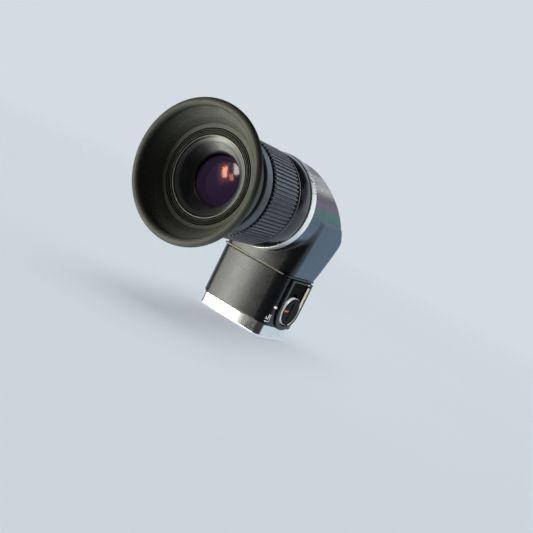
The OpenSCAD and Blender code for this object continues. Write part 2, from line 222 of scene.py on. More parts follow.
def solid(name, sdf, lo, hi, step, sharp=40.0):
    """Mesh of the zero level of a distance function: one point in each crossed cell of a grid between lo
    and hi, moved onto the surface, and one face round each crossed grid edge."""
    axes = [np.arange(lo[i] - 2.5 * step, hi[i] + 2.5 * step, step) for i in range(3)]
    grid = np.meshgrid(*axes, indexing="ij")
    value = sdf(*grid)
    inside = value < 0
    n = [s - 1 for s in value.shape]
    total = np.zeros((*n, 3))
    hits = np.zeros(n)
    edges = []
    for a in range(3):
        first = [slice(None)] * 3
        second = [slice(None)] * 3
        first[a], second[a] = slice(0, -1), slice(1, None)
        first, second = tuple(first), tuple(second)
        crossed = inside[first] != inside[second]
        v0, v1 = value[first], value[second]
        t = np.where(crossed, v0 / np.where(crossed, v0 - v1, 1), 0)
        pos = np.stack([g[first] for g in grid], -1)
        pos[..., a] += t * step
        edges.append((crossed, inside[first]))
        b, c = [i for i in range(3) if i != a]
        for db in (0, 1):
            for dc in (0, 1):
                cut = [slice(None)] * 3
                cut[b], cut[c] = slice(db, db + n[b]), slice(dc, dc + n[c])
                cut = tuple(cut)
                total += pos[cut] * crossed[cut][..., None]
                hits += crossed[cut]
    used = hits > 0
    index = np.full(n, -1)
    index[used] = np.arange(used.sum())
    points = total[used] / hits[used][:, None]
    for _ in range(4):
        g = slope(sdf, points)
        move = (sdf(*points.T) / np.maximum((g * g).sum(1), 0.2))[:, None] * g
        points = points - np.clip(move, -step * 0.6, step * 0.6)
    faces = []
    for a in range(3):
        crossed, solid_first = edges[a]
        b, c = [(1, 2), (2, 0), (0, 1)][a]
        where = np.argwhere(crossed)
        ok = (where[:, b] > 0) & (where[:, c] > 0) & (where[:, b] < n[b]) & (where[:, c] < n[c])
        where = where[ok]
        corners = []
        for db, dc in ((-1, -1), (0, -1), (0, 0), (-1, 0)):
            cell = where.copy()
            cell[:, b] += db
            cell[:, c] += dc
            corners.append(index[cell[:, 0], cell[:, 1], cell[:, 2]])
        quad = np.stack(corners, 1)
        flip = ~solid_first[where[:, 0], where[:, 1], where[:, 2]]
        quad[flip] = quad[flip][:, ::-1]
        faces += quad.tolist()
    return smooth_shade(add_mesh(name, points, faces, sharp), sdf)


def smooth_shade(obj, sdf, widest=32.0):
    """Corner normals from the distance function, so that reflections run without waves. A corner keeps
    its face's own normal where the two differ by more than widest degrees, so hard edges stay hard."""
    mesh = obj.data
    place = np.empty(len(mesh.vertices) * 3)
    mesh.vertices.foreach_get("co", place)
    g = slope(sdf, place.reshape(-1, 3) * 1000)
    g /= np.maximum(np.linalg.norm(g, axis=1), 1e-6)[:, None]
    corner = np.empty(len(mesh.loops), np.int32)
    mesh.loops.foreach_get("vertex_index", corner)
    flat = np.empty(len(mesh.polygons) * 3)
    mesh.polygons.foreach_get("normal", flat)
    size = np.empty(len(mesh.polygons), np.int32)
    mesh.polygons.foreach_get("loop_total", size)
    flat = np.repeat(flat.reshape(-1, 3), size, 0)
    near = (g[corner] * flat).sum(1) > math.cos(math.radians(widest))
    mesh.normals_split_custom_set(np.where(near[:, None], g[corner], flat).tolist())
    return obj


# ------------------------------------------------------------------ materials

class Finish:
    """A procedural material: a principled shader and short ways to wire nodes into it. Noise scales are
    per millimetre, and bump depths are millimetres."""

    def __init__(self, name):
        self.mat = bpy.data.materials.new(name)
        self.mat.use_nodes = True
        self.tree = self.mat.node_tree
        self.shader = self.tree.nodes["Principled BSDF"]
        self.place = self.make("TexCoord").outputs["Object"]
        self.height = []

    def make(self, kind, inputs=(), **props):
        node = self.tree.nodes.new("ShaderNode" + kind)
        for key, value in props.items():
            setattr(node, key, value)
        for key, value in dict(inputs).items():
            if isinstance(value, bpy.types.NodeSocket):
                self.tree.links.new(value, node.inputs[key])
            else:
                node.inputs[key].default_value = value
        return node

    def set(self, **values):
        """Constants on the shader's own sockets."""
        for key, value in values.items():
            name = key.replace("_", " ")
            socket = next(s for s in self.shader.inputs if s.name.lower() == name.lower())
            if isinstance(value, (tuple, list)) and len(value) == 3 and socket.type == "RGBA":
                value = (*value, 1)
            socket.default_value = value
        return self

    def noise(self, scale, detail=3.0, stretch=(1, 1, 1), rough=0.55):
        moved = self.make("Mapping", {"Vector": self.place, "Scale": [s * scale * 1000 for s in stretch]})
        inputs = {"Vector": moved.outputs[0], "Scale": 1.0, "Detail": detail, "Roughness": rough}
        return self.make("TexNoise", inputs).outputs["Fac"]

    def remap(self, value, low, high, start=0.3, end=0.7):
        """The value's range from start to end, turned into low to high."""
        inputs = {"Value": value, "From Min": start, "From Max": end, "To Min": low, "To Max": high}
        return self.make("MapRange", inputs).outputs[0]

    def mix(self, fac, a, b):
        """Colour between a and b; each of the three is a socket or a constant."""
        node = self.make("Mix", data_type="RGBA")
        for socket, value in ((node.inputs[0], fac), (node.inputs[6], a), (node.inputs[7], b)):
            if isinstance(value, bpy.types.NodeSocket):
                self.tree.links.new(value, socket)
            elif isinstance(value, (tuple, list)):
                socket.default_value = (*value, 1)
            else:
                socket.default_value = value
        return node.outputs[2]

    def colour(self, socket):
        self.tree.links.new(socket, self.shader.inputs["Base Color"])
        return self

    def rough(self, socket):
        self.tree.links.new(socket, self.shader.inputs["Roughness"])
        return self

    def bump(self, value, depth_mm, strength=1.0):
        self.height.append((value, depth_mm, strength))
        return self

    def done(self):
        """The finished material, with its bumps chained."""
        normal = None
        for value, depth, strength in self.height:
            inputs = {"Height": value, "Distance": depth * 0.001, "Strength": strength}
            if normal is not None:
                inputs["Normal"] = normal
            normal = self.make("Bump", inputs).outputs[0]
        if normal is not None:
            self.tree.links.new(normal, self.shader.inputs["Normal"])
        return self.mat


def satin_black(name, base, roughness, specular=0.5, coat=0.0, peel=0.0008, tint=(1, 1, 1)):
    """Black paint or anodising: faint mottling, orange peel, fine dust and rubbed patches."""
    f = Finish(name)
    f.set(specular_ior_level=specular, specular_tint=tint, coat_weight=coat, coat_roughness=0.12)
    cloud = f.noise(0.12, 4)
    dust = f.remap(f.noise(7.5, 2), 0, 1, 0.73, 0.86)
    warm = [c * 1.1 + 0.0005 for c in base]
    f.colour(f.mix(dust, f.mix(f.remap(cloud, 0, 1), base, warm), [c * 1.8 + 0.006 for c in base]))
    f.rough(f.remap(f.noise(0.30, 4), roughness * 0.93, roughness * 1.08))
    f.bump(f.noise(2.6, 2), peel).bump(f.noise(14, 2), peel * 0.25)
    return f.done()


def metal(
    name, base, roughness, stretch=(1, 1, 1), grain=3.0, depth=0.003, tint=None, metallic=1.0, spread=0.28
):
    """Bare or plated metal with fine lines, long where stretch is small, and a cloud of a second tint."""
    f = Finish(name)
    f.set(metallic=metallic)
    lines = f.noise(grain, 4, stretch)
    f.colour(f.mix(f.remap(f.noise(0.25, 4), 0, 1), base, tint or [c * 0.9 for c in base]))
    f.rough(f.remap(lines, roughness * (1 - spread), roughness * (1 + spread)))
    f.bump(lines, depth)
    return f.done()


def paint(name, base, roughness=0.5):
    """Thick filling paint for marks and lines."""
    f = Finish(name)
    f.colour(f.mix(f.remap(f.noise(3, 3), 0, 1), base, [c * 0.8 for c in base]))
    f.rough(f.remap(f.noise(4, 2), roughness * 0.85, roughness * 1.15))
    f.bump(f.noise(9, 2), 0.004)
    return f.done()


def rubber():
    """Matt moulded rubber: olive grey, with bloom, fine grain and dust."""
    f = Finish("eyecup_rubber")
    f.set(specular_ior_level=0.42, sheen_weight=0.05, sheen_roughness=0.5, sheen_tint=(0.8, 0.78, 0.7))
    bloom = f.remap(f.noise(0.09, 5), 0, 1)
    dust = f.remap(f.noise(6.5, 3), 0, 1, 0.64, 0.76)
    moulded = f.mix(bloom, (0.058, 0.060, 0.047), (0.078, 0.080, 0.064))
    f.colour(f.mix(dust, moulded, (0.13, 0.13, 0.115)))
    f.rough(f.remap(f.noise(0.5, 5), 0.50, 0.64))
    f.bump(f.noise(5.5, 4), 0.010).bump(f.noise(22, 2), 0.003)
    return f.done()


def coated_glass(name, tint, body, clear=1.0, level=0.35, roughness=0.004):
    """Lens glass with a coloured anti-reflection coating and the faintest wipe marks."""
    f = Finish(name)
    f.set(transmission_weight=clear, ior=1.5, specular_ior_level=level, specular_tint=tint)
    f.colour(f.mix(f.remap(f.noise(0.1, 3), 0, 1), body, [c * 0.96 for c in body]))
    f.rough(f.remap(f.noise(0.4, 4, (1, 1, 3)), roughness, roughness * 1.1 + 0.005))
    return f.done()


NO_STRETCH = (1, 1, 1)
FINISH = {
    "rubber": rubber(),
    "paint": satin_black("satin_black_paint", (0.0085, 0.0092, 0.011), 0.27, specular=0.6),
    "plate": satin_black("slide_plate_black", (0.012, 0.012, 0.015), 0.33),
    "grip": satin_black("grip_black", (0.006, 0.006, 0.007), 0.5, specular=0.12),
    "gloss": satin_black("gloss_black", (0.006, 0.006, 0.0065), 0.13, coat=0.4, peel=0.004),
    "anodised": satin_black("anodised_black", (0.034, 0.040, 0.052), 0.42, specular=0.75),
    "ring": satin_black("retaining_ring_black", (0.024, 0.026, 0.027), 0.30, specular=0.9),
    # Flat black for the optics' inner parts; on the slide plate's pocket and sides and in the eyecup's
    # grooves it is painted shade.
    "inner": satin_black("flat_black_and_painted_shade", (0.003, 0.003, 0.003), 0.7, specular=0.08),
    "chrome": metal("satin_chrome", (0.86, 0.87, 0.88), 0.17, (1, 1, 0.06), 2.2, 0.0002, spread=0.08),
    "rim": metal("bright_rim", (0.88, 0.90, 0.90), 0.33, NO_STRETCH, 4.0, 0.0005, metallic=0.45),
    "steel": metal("bright_steel", (0.62, 0.62, 0.63), 0.26, NO_STRETCH, 5.0, 0.002),
    "brass": metal(
        "threaded_brass", (0.70, 0.52, 0.24), 0.28, (0.1, 1, 6), 2.0, 0.003, (0.50, 0.37, 0.18)
    ),
    "silver": metal(
        "satin_silver", (0.93, 0.925, 0.905), 0.38, (0.5, 9, 0.5), 1.2, 0.002, metallic=0.7
    ),
    "bowl": metal("worn_ring_metal", (0.062, 0.061, 0.056), 0.2, NO_STRETCH, 3.0, 0.001),
    "line": metal("thin_ring_edge", (0.040, 0.041, 0.041), 0.45, NO_STRETCH, 4.0, 0.001),
    "seam": metal("seam_metal", (0.13, 0.122, 0.10), 0.42, NO_STRETCH, 4.0, 0.001),
    "white": paint("white_fill", (0.80, 0.80, 0.76)),
    # cream paint for the painted highlight along the pocket's back edge
    "cream": paint("cream_painted_highlight", (0.78, 0.72, 0.58)),
    "black_fill": paint("black_fill", (0.018, 0.018, 0.02)),
    "orange": paint("orange_fill", (0.70, 0.15, 0.04)),
    # A mostly opaque dark violet body: painted shade for the dark inside seen through the lens, and a
    # painted violet reflection.
    "eye_glass": coated_glass(
        "violet_glass_painted_dark_inside", (0.75, 0.42, 0.95), (0.014, 0.010, 0.046), 0.25, roughness=0.12
    ),
    "inner_glass": coated_glass("amber_coated_glass", (1.0, 0.55, 0.3), (0.95, 0.92, 0.97), level=0.5),
    "prism_glass": coated_glass("prism_glass", (0.8, 0.9, 1.0), (0.93, 0.96, 0.97), level=0.5),
}


# ------------------------------------------------------------------ lower column

def column_sdf(x, y, z):
    """The column with its bore, the slide plate's seat and the slot behind the knob."""
    d = round_max(column_plan(x, y), np.maximum(column_lo[2] - z, z - column_hi[2]), 0.35)
    d = smooth_max(d, BORE_R - np.hypot(x, y), 0.05)
    seat = np.maximum(stadium(y, z, SEAT_R, KNOB_Z, ABOVE), 13.0 - x)
    d = smooth_max(d, -seat, 0.05)
    slot = np.maximum(stadium(y, z, 1.7, KNOB_Z, KNOB_Z + TRAVEL), 5 - x)
    return smooth_max(d, -slot, 0.05)


column = solid("column_body", column_sdf, column_lo, column_hi, 0.2)
piece(column, "finder", "black_paint", FINISH["paint"], "column_shell")


def base_sdf(x, y, z):
    """The bright ring, with room for the turning socket and its flange."""
    d = round_max(column_plan(x, y, 0.95, 3.0), np.maximum(base_lo[2] - z, z - base_hi[2]), 0.28)
    socket = np.maximum(np.hypot(x, y) - 8.35, z - 2.4)
    flange = np.maximum(np.hypot(x, y) - 8.95, 2.38 - z)
    return smooth_max(smooth_max(d, -socket, 0.05), -flange, 0.05)


base = solid("base_ring_chrome", base_sdf, base_lo, base_hi, 0.18)
piece(base, "finder", "chrome", FINISH["chrome"], "base_ring")


# ------------------------------------------------------------------ slide plate and knob

def plate_sdf(x, y, z):
    """The raised plate with its pocket and the slot in the pocket's floor."""
    outline = np.maximum(stadium(y, z, PLATE_R, KNOB_Z, ABOVE), z - plate_hi[2])
    d = round_max(outline, np.maximum(13.02 - x, x - plate_hi[0]), 0.42)
    pocket = round_max(stadium(y, z, POCKET_R, KNOB_Z, ABOVE), z - POCKET_TOP, 0.7)
    d = smooth_max(d, -np.maximum(pocket, POCKET_FLOOR - x), 0.08)
    return smooth_max(d, -stadium(y, z, 1.6, KNOB_Z, KNOB_Z + TRAVEL), 0.05)


plate = solid("slide_plate_body", plate_sdf, plate_lo, plate_hi, 0.15)
plate.data.materials.append(FINISH["plate"])
plate.data.materials.append(FINISH["inner"])
# Faces in the pocket and on the plate's sides take the dull near-black finish: painted shade in the pocket
# and on the sides.
for face in plate.data.polygons:
    x, y, z = (c * 1000 for c in face.center)
    in_pocket = stadium(y, z, POCKET_R + 0.2, KNOB_Z, ABOVE) < 0
    if x < 14.1 and (in_pocket or face.normal.x < 0.5):
        face.material_index = 1
piece(plate, "finder", "black_plastic", None, "slide_plate")


def painted_highlight_sdf(x, y, z):
    """Cream strip along the pocket's back edge: a painted highlight where that edge catches the light."""
    wall = np.abs(stadium(y, z, 5.13, KNOB_Z, ABOVE)) - 0.16
    return round_max(wall, np.maximum.reduce([13.7 - x, x - 14.34, z - 18.9, 2.6 - y]), 0.03)


# A cream strip on the pocket's back edge, lit by its own lamp: a painted highlight.
painted_edge_highlight = solid("pocket_edge_painted_highlight", painted_highlight_sdf, (13.7, 2.5, 5.0), (14.35, 5.3, 19.0), 0.08)
piece(painted_edge_highlight, "finder", "white_mark", FINISH["cream"])

rim_r = (rim_hi[2] - rim_lo[2]) / 2
cap_profile = [(0.02, 13.56), (rim_r - 0.42, 13.56), (rim_r - 0.42, 14.48), (rim_r - 0.09, 14.5)]
cap_profile += [(rim_r - 0.12, 14.62), (3.6, 14.66), (0.02, 14.6)]
cap = revolve("knob_cap_black", rounded(cap_profile, 0.1, 4), 160, axis="knob")
piece(cap, "slide", "black_plastic", FINISH["grip"])


def ridge_sdf(x, y, z):
    """Low upright ridge for the finger, on the knob's cap."""
    d = round_max(np.abs(y) - 0.62, np.maximum(np.abs(z - KNOB_Z) - 3.1, x - 14.8), 0.25)
    return np.maximum(d, 14.5 - x)


ridge_lo, ridge_hi = (14.45, -0.8, KNOB_Z - 3.3), (14.85, 0.8, KNOB_Z + 3.3)
ridge = solid("knob_finger_ridge", ridge_sdf, ridge_lo, ridge_hi, 0.09)
piece(ridge, "slide", "black_plastic", FINISH["grip"], "knob_cap")

rim_profile = [(rim_r - 0.4, 13.52), (rim_r, 13.52), (rim_r, 14.46), (rim_r - 0.4, 14.46)]
rim = revolve("knob_rim_chrome", rounded(rim_profile, 0.06, 3), 192, axis="knob")
piece(rim, "slide", "chrome", FINISH["rim"], "knob_rim")


# ------------------------------------------------------------------ prism housing

def slanted(x, y, z):
    """Place against the slanted back's plane: across it, down its slope, and out of it."""
    down = ((y - 4.3) - (z - AXIS_Z - 3.2)) / math.sqrt(2)
    return x, down, (y + z - BACK_SUM) / math.sqrt(2)


def housing_sdf(x, y, z):
    """A round collar joined to a squarer foot, cut off by the slanted back and hollowed out."""
    zz = z - AXIS_Z
    tube = round_max(np.hypot(x, zz) - HOUSING_R, -COLLAR_FRONT - y, 0.35)
    tube = np.maximum(tube, y - 10)
    rise = z - housing_lo[2]
    half = HOUSING_R - (HOUSING_R - HALF_W + 0.35) * (1 - rise / (AXIS_Z - housing_lo[2])) ** 2
    back = np.minimum(HALF_D - 0.5 + 0.244 * rise, 13.45)
    front = np.hypot(x, FACE_R + 0.3 - HALF_D - y) - FACE_R
    foot = round_max(np.abs(x) - half, np.maximum(front, y - back), 4.0)
    foot = np.maximum(foot, z - AXIS_Z)
    d = smooth_min(tube, foot, 1.1)
    u, v, w = slanted(x, y, z)
    d = smooth_max(d, w, 0.8)
    d = round_max(d, housing_lo[2] - z, 0.25)
    bore = np.maximum(np.hypot(x, y) - BORE_R, z - 29)
    room = np.maximum.reduce([
        np.abs(x) - 10.2, -9 - y, y - 10.4, 28.5 - z, w + 4 / math.sqrt(2),
        np.minimum(np.hypot(x, zz) - HOUSING_R + 2, zz),
    ])
    mouth = np.maximum(np.hypot(x, zz) - 11.6, y + 8)
    seat = np.maximum(rounded_rect(u, v, 8.85, 9.25, 4.0), -1.2 - w)
    window = np.maximum(rounded_rect(u, v, 6.2, 6.8, 2.5), -6 - w)
    for hollow in (bore, room, mouth, seat, window):
        d = smooth_max(d, -hollow, 0.06)
    return d


housing = solid("prism_housing_body", housing_sdf, housing_lo, housing_hi, 0.33)
piece(housing, "finder", "black_paint", FINISH["paint"], "prism_housing")


def cover_sdf(x, y, z):
    """The plate on the slanted back, with four countersunk screw holes."""
    u, v, w = slanted(x, y, z)
    d = round_max(rounded_rect(u, v, 8.78, 9.18, 3.95), np.maximum(w, -1.18 - w), 0.22)
    for su in (-1, 1):
        for sv in (-1, 1):
            cone = np.hypot(u - su * 6.65, v - sv * 7.05) - 1.24 - np.minimum(w, 0)
            d = smooth_max(d, -np.maximum(cone, -0.62 - w), 0.04)
    return d


cover_lo, cover_hi = box_mm("back_cover")
cover = solid("back_cover_plate", cover_sdf, cover_lo, cover_hi, 0.2)
piece(cover, "finder", "black_paint", FINISH["paint"], "back_cover")


# ------------------------------------------------------------------ band, step ring, dioptre ring

band_profile = [(13.3, 15.28), (14.92, 15.28), (15.1, 15.46), (15.1, 18.3), (14.92, 18.48), (13.3, 18.48)]
band = revolve("index_band_silver", rounded(band_profile, 0.08, 2))
piece(band, "finder", "silver_band", FINISH["silver"], "index_band")

step_profile = [(13.3, 18.56), (14.35, 18.56), (14.62, 18.72), (14.95, 19.15), (14.97, 20.3)]
step_profile += [(14.9, 21.3), (14.72, 22.4), (14.42, 23.6), (14.1, 24.6), (14.0, 25.05), (13.3, 25.05)]
step = revolve("step_ring_gloss", rounded(step_profile, 0.16, 3), sharp=60)
piece(step, "finder", "black_metal", FINISH["gloss"], "step_ring")

RIBS = 76
RIB_DEPTH = 0.44
RIB_SPAN = (26.55, 41.6)


def ribbed(r, e, t):
    """Straight ribs with flat crests and rounded roots."""
    phase = (t * RIBS / (2 * math.pi)) % 1
    crest = np.clip((np.abs(phase - 0.5) - 0.20) / 0.13, 0, 1)
    crest = crest * crest * (3 - 2 * crest)
    depth = np.where((e > RIB_SPAN[0]) & (e < RIB_SPAN[1]) & (r > 14), RIB_DEPTH, 0.0)
    return r - depth * crest


ring_profile = [(12.9, 25.25), (14.72, 25.25), (14.88, 25.42), (14.88, 26.0), (14.62, 26.25)]
ring_profile += [(14.42, 26.5), (14.74, 26.62), (15.0, 26.95)]
ring_profile += [(15.0 + 0.3 * i / 10, 27.4 + 13.2 * i / 10) for i in range(11)]
ring_profile += [(15.34, 40.95), (15.22, 41.3), (14.7, 41.4), (12.9, 41.4), (12.9, 33)]
dioptre = revolve("dioptre_ring_ribbed", ring_profile, RIBS * 12, ribbed, sharp=50)
piece(dioptre, "dioptre", "knurl_black", FINISH["anodised"], "dioptre_ring")

collar_profile = [(12.05, 42.3), (14.2, 42.3), (14.9, 42.42), (15.02, 42.7), (15.02, 45.7)]
collar_profile += [(14.9, 46.1), (14.5, 46.4), (12.05, 46.4)]
collar = revolve("cup_collar_smooth", rounded(collar_profile, 0.14, 3), sharp=60)
piece(collar, "eyepiece", "knurl_black", FINISH["anodised"], "cup_collar")


# ------------------------------------------------------------------ eyecup and retaining ring

def cone_ribs(start, end, pitch, depth, fade):
    """Points from start to end with fine ribs, four to a rib, and shallower towards the end by fade."""
    start, end = np.array(start, float), np.array(end, float)
    run = end - start
    length = np.linalg.norm(run)
    along = run / length
    outward = np.array([-along[1], along[0]])
    steps = int(length / pitch) * 4
    points = []
    for i in range(steps):
        s = i / steps
        wave = 0.5 - 0.5 * math.cos(2 * math.pi * i / 4)
        p = start + run * s + outward * depth * wave * (1 - fade * s)
        points.append((p[0], p[1]))
    return points


lip = 1.25                                  # radius of the round lip, then its middle
lip_r = cup_hi[0] - lip
lip_e = -cup_lo[1] - lip
cup = [(12.04, 46.55), (14.1, 46.5), (14.28, 46.75), (14.4, 47.1)]
outer_start, outer_end = (14.7, 47.25), (lip_r + 0.80, lip_e - 0.98)
for i in range(33):
    s = i / 32
    cup.append((
        outer_start[0] + (outer_end[0] - outer_start[0]) * s,
        outer_start[1] + (outer_end[1] - outer_start[1]) * s ** 0.8,
    ))
cup += arc((lip_r, lip_e), lip, -46, 205, 30)
cup += [(lip_r - 1.13, lip_e - 0.72), (lip_r - 0.98, lip_e - 0.98), (lip_r - 1.2, lip_e - 1.12)]
cup += cone_ribs((lip_r - 1.45, lip_e - 1.2), (15.35, 54.1), 0.56, 0.21, 0.35)
cup += [(15.28, 53.95), (15.24, 53.55), (15.05, 53.36), (14.8, 53.28), (14.15, 53.14)]
for r in (13.72, 13.18, 12.64):             # three grooves at the root of the cone
    cup += [(r + 0.30, 53.1), (r + 0.17, 53.04), (r + 0.13, 52.45), (r - 0.13, 52.45), (r - 0.17, 53.0)]
cup += [(12.3, 53.0), (12.08, 52.9), (12.04, 52.7)]
eyecup = revolve("eyecup_moulded", cup, 320, sharp=55)
eyecup.data.materials.append(FINISH["rubber"])
eyecup.data.materials.append(FINISH["inner"])
# Faces in the three grooves at the cone's root take the dull near-black finish: painted shade in the
# grooves.
for face in eyecup.data.polygons:
    x, y, z = (c * 1000 for c in face.center)
    if 52.3 < -y < 52.98 and math.hypot(x, z - AXIS_Z) < 14.2:
        face.material_index = 1
piece(eyecup, "eyepiece", "rubber", None, "eyecup")

trap = [(7.6, 47.7), (8.45, 47.62), (10.3, 47.1), (10.3, 46.5), (11.98, 46.5), (11.98, 52.62)]
trap += [(11.95, 52.78), (11.89, 52.85), (11.80, 52.86), (11.6, 52.82), (11.35, 52.765), (11.1, 52.70)]
trap += [(10.85, 52.615), (10.6, 52.515), (10.35, 52.395), (10.12, 52.27)]
BAFFLES = 10                                # fine steps down to the lens, and the cone that they follow
BAFFLE_R, BAFFLE_E = 10.0, 52.2
BAFFLE_IN, BAFFLE_DOWN = 1.85, 3.25
for i in range(BAFFLES):
    s0, s1 = i / BAFFLES, (i + 1) / BAFFLES
    r0, r1 = BAFFLE_R - BAFFLE_IN * s0, BAFFLE_R - BAFFLE_IN * s1
    e0, e1 = BAFFLE_E - BAFFLE_DOWN * s0, BAFFLE_E - BAFFLE_DOWN * s1
    trap += [(r0, e0), (r0 - 0.06, e0 - 0.14), (r0 + 0.11, e0 - 0.16), (r1 + 0.12, e1 + 0.04)]
trap += [(8.08, 48.86), (7.9, 48.72), (7.74, 48.52), (7.64, 48.2)]
retaining = revolve("retaining_ring_trap", trap, 288, sharp=30)
retaining.data.materials.append(FINISH["ring"])
retaining.data.materials.append(FINISH["line"])
retaining.data.materials.append(FINISH["bowl"])
for face in retaining.data.polygons:
    x, y, z = (c * 1000 for c in face.center)
    r = math.hypot(x, z - AXIS_Z)
    if -y > 52.5 and 11.80 < r < 11.97:
        face.material_index = 1
    elif -y > 52.3 and 11.05 < r < 11.80:
        face.material_index = 2
piece(retaining, "eyepiece", "ring_black", None, "retaining_ring")

LENS_R = 8.52
FRONT_CURVE, REAR_CURVE = 18.3, 46.0        # radii of the lens's two spherical faces
EDGE_THICK = 1.3


def dome(curve, edge, sign, steps=28):
    """Lens face from its middle to its rim: curve is the sphere's radius, edge the distance at the rim,
    and sign is 1 for the front face and -1 for the rear."""
    deep = curve - math.sqrt(curve ** 2 - LENS_R ** 2)
    radii = np.linspace(0.01, LENS_R, steps)
    return [(r, edge + sign * (deep - curve + math.sqrt(curve ** 2 - r ** 2))) for r in radii]


lens_lo, _ = box_mm("eye_lens")
front_deep = FRONT_CURVE - math.sqrt(FRONT_CURVE ** 2 - LENS_R ** 2)
front_edge = -lens_lo[1] - front_deep
lens_profile = dome(FRONT_CURVE, front_edge, 1) + dome(REAR_CURVE, front_edge - EDGE_THICK, -1)[::-1]
eye_lens = revolve("eye_lens_dome", lens_profile, 192, sharp=50)
piece(eye_lens, "eyepiece", "coated_glass", FINISH["eye_glass"], "eye_lens")


# ------------------------------------------------------------------ painted marks

SUNK = 0.04                                 # how far a stroke's sides reach into its surface
STROKE_STEP = 0.35


def strokes(name, lines, width, surface, body, slot, mat, height=0.03):
    """Thin painted strokes laid on a surface. surface(u, v, h) gives the point at height h over it."""
    points, faces = [], []
    for line in lines:
        for (u0, v0), (u1, v1) in zip(line, line[1:]):
            length = math.hypot(u1 - u0, v1 - v0)
            if length == 0:
                continue
            du, dv = (u1 - u0) / length * width / 2, (v1 - v0) / length * width / 2
            first = len(points)
            n = max(1, int(length / STROKE_STEP))
            for k in range(n + 1):
                s = k / n
                grow = -1 if k == 0 else (1 if k == n else 0)
                u, v = u0 + (u1 - u0) * s + du * grow, v0 + (v1 - v0) * s + dv * grow
                for side, h in ((-1, -SUNK), (1, -SUNK), (1, height), (-1, height)):
                    points.append(surface(u - dv * side, v + du * side, h))
            for k in range(n):
                a, b = first + 4 * k, first + 4 * k + 4
                faces += [(a + j, a + (j + 1) % 4, b + (j + 1) % 4, b + j) for j in range(4)]
            last = first + 4 * n
            faces += [(first + 3, first + 2, first + 1, first), (last, last + 1, last + 2, last + 3)]
    obj = add_mesh(name, points, faces, 30)
    return piece(obj, body, slot, mat)


# Lines of each figure, for a height of 1.
DIGITS = {
    "0": [[
        (0.15, 0), (0, 0.3), (0, 0.7), (0.15, 1), (0.45, 1), (0.6, 0.7), (0.6, 0.3), (0.45, 0), (0.15, 0)
    ]],
    "1": [[(0.1, 0.75), (0.35, 1), (0.35, 0)]],
    "5": [[
        (0.55, 1), (0.08, 1), (0.03, 0.55), (0.35, 0.6), (0.58, 0.42), (0.55, 0.15), (0.3, 0), (0, 0.1)
    ]],
    "x": [[(0, 0), (0.55, 0.62)], [(0, 0.62), (0.55, 0)]],
    "+": [[(0, 0.5), (0.6, 0.5)], [(0.3, 0.2), (0.3, 0.8)]],
    "-": [[(0.05, 0.5), (0.55, 0.5)]],
    ".": [[(0.05, 0.0), (0.12, 0.0)]],
}


def figures(text, height, gap=0.25):
    """Stroke figures side by side, starting at 0 and running along +u."""
    lines, at = [], 0.0
    for mark in text:
        width = max(u for line in DIGITS[mark] for u, _ in line)
        lines += [[((u + at) * height, v * height) for u, v in line] for line in DIGITS[mark]]
        at += width + gap
    return lines


FIGURE_Y = -7.35                            # y of the figures' foot, on the column's rounded corner
FIGURE_Z = 4.75                             # height at which the figures start
FIGURE_HEIGHT = 1.15


def on_column(u, v, h):
    """u up the column, v towards its front, on the rounded corner between the front and the +X side."""
    y = FIGURE_Y - v
    x = 10.0
    for _ in range(24):
        x -= column_plan(x, y) * 0.9
    n = np.array([
        column_plan(x + 0.01, y) - column_plan(x - 0.01, y),
        column_plan(x, y + 0.01) - column_plan(x, y - 0.01),
    ])
    n /= np.linalg.norm(n)
    return (x + n[0] * h, y + n[1] * h, u)


figure_marks = strokes(
    "magnification_figures",
    [[(u + FIGURE_Z, v) for u, v in line] for line in figures("1.5x", FIGURE_HEIGHT)],
    0.17, on_column, "finder", "white_mark", FINISH["white"],
)


def on_plate(u, v, h):
    """u towards the back, v up, on the slide plate's face."""
    return (plate_hi[0] + h, u, v)


# A white dash near the pocket's upper back corner: a painted glint on the plate's corner.
painted_corner_glint = strokes(
    "plate_corner_painted_glint", [[(3.55, 19.88), (4.25, 19.88)]],
    0.36, on_plate, "finder", "white_mark", FINISH["white"], 0.02,
)


def on_cap(u, v, h):
    """u towards the back, v up, on the knob's black cap."""
    return (14.64 + h, u, v)


pointer_lo, pointer_hi = box_mm("knob_pointer")
pointer_z = (pointer_lo[2] + pointer_hi[2]) / 2
pointer = strokes(
    "knob_pointer_orange", [[(pointer_lo[1] + 0.1, pointer_z), (pointer_hi[1] - 0.1, pointer_z)]],
    0.55, on_cap, "slide", "orange_mark", FINISH["orange"],
)
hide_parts("knob_pointer")


BAND_E = 16.85                              # distance at which v is 0, near the band's middle
SCALE_U = 11.6                              # the scale's zero, along the band from its top
TICK_STEP = 0.95
TICK_V = -1.15                              # the foot of the ticks


def on_band(u, v, h):
    """u round the band from its top towards +X, v towards the eye."""
    r = band_hi[0] + h
    a = math.pi / 2 - u / band_hi[0]
    return (r * math.cos(a), -(BAND_E + v), AXIS_Z + r * math.sin(a))


scale_marks = []
for i in range(-4, 5):
    tall = 0.95 if i % 2 == 0 else 0.6
    u = SCALE_U + i * TICK_STEP
    scale_marks.append([(u, TICK_V), (u, TICK_V + tall)])
for text, side in (("0", -0.25), ("+", -4.05), ("-", 3.55)):
    scale_marks += [[(u + SCALE_U + side, v + 0.12) for u, v in line] for line in figures(text, 1.0)]
strokes(
    "dioptre_scale_marks", scale_marks,
    0.2, on_band, "finder", "black_plastic", FINISH["black_fill"], 0.012,
)


# ------------------------------------------------------------------ CAD nodes that stay

